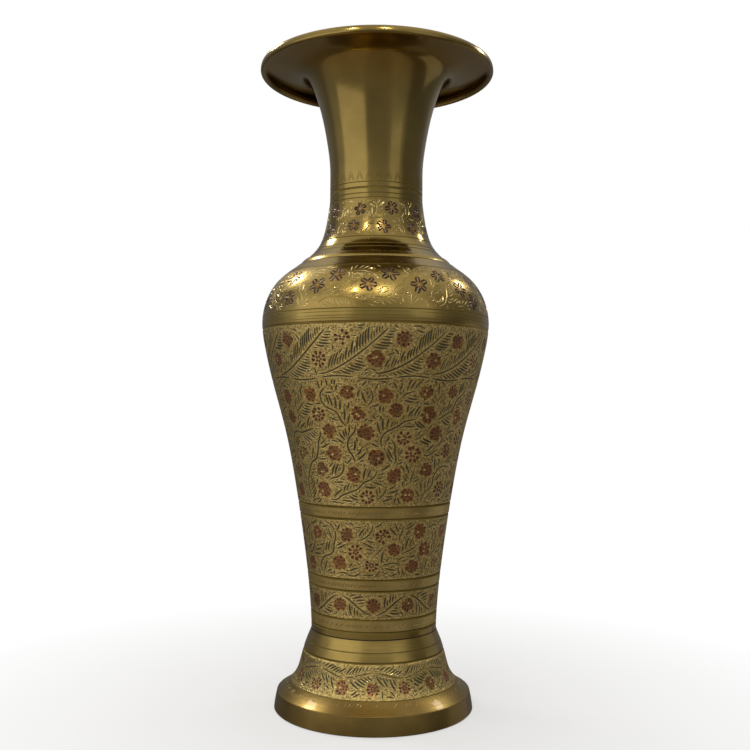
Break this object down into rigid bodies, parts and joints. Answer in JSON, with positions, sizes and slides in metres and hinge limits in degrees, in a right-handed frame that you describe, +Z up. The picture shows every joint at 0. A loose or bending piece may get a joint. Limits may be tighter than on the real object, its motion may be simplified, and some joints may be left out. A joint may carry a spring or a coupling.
{
  "type": "brass flower vase",
  "caption": "Tall engraved brass flower vase with a spreading foot, tapering body, domed shoulder, slim neck and wide trumpet mouth; foot and neck unscrew.",
  "frame": {"origin": "centre of the foot's underside, on the table", "axes": "+Z up along the vase's axis; round about Z, the front view looks along +Y"},
  "size_m": [0.222, 0.222, 0.6099],
  "materials": {
    "foot_brass": "chased and lac-filled, with a plain turned band",
    "body_brass": "chased all over with flowers and leaves filled with red and green lac on a matted ground",
    "shoulder_brass": "chased and lac-filled on a polished ground",
    "neck_brass": "polished trumpet with a chased band below",
    "ring_brass": "polished",
    "plain_brass": "as turned",
    "leather": "oiled, dark"
  },
  "bodies": {
    "foot": {"foot_hoop": "foot_brass", "foot_shell": "foot_brass", "foot_thread_ring": "plain_brass"},
    "foot_seat": {"foot_washer": "leather"},
    "vessel": {"body_thread_ring": "plain_brass", "vessel_floor": "plain_brass", "body_shell": "body_brass", "shoulder_shell": "shoulder_brass", "shoulder_thread_ring": "plain_brass"},
    "neck_seat": {"neck_washer": "leather"},
    "neck": {"neck_thread_ring": "ring_brass", "neck_trumpet": "neck_brass", "rim_wire": "plain_brass"}
  },
  "joints": [
    {"name": "vessel_unscrew", "type": "hinge", "parent": "foot", "child": "foot_seat", "pos_m": [0, 0, 0.076], "axis": [0, 0, 1], "range_deg": [0, 1440]},
    {"name": "vessel_rise", "type": "slide", "parent": "foot_seat", "child": "vessel", "axis": [0, 0, 1], "range_m": [0, 0.012]},
    {"name": "neck_unscrew", "type": "hinge", "parent": "vessel", "child": "neck_seat", "pos_m": [0, 0, 0.4199], "axis": [0, 0, 1], "range_deg": [0, 1440]},
    {"name": "neck_rise", "type": "slide", "parent": "neck_seat", "child": "neck", "axis": [0, 0, 1], "range_m": [0, 0.012]}
  ],
  "couplings": [
    {"joint": "vessel_rise", "follows": "vessel_unscrew", "m_per_rad": 0.00047746},
    {"joint": "neck_rise", "follows": "neck_unscrew", "m_per_rad": 0.00047746}
  ]
}
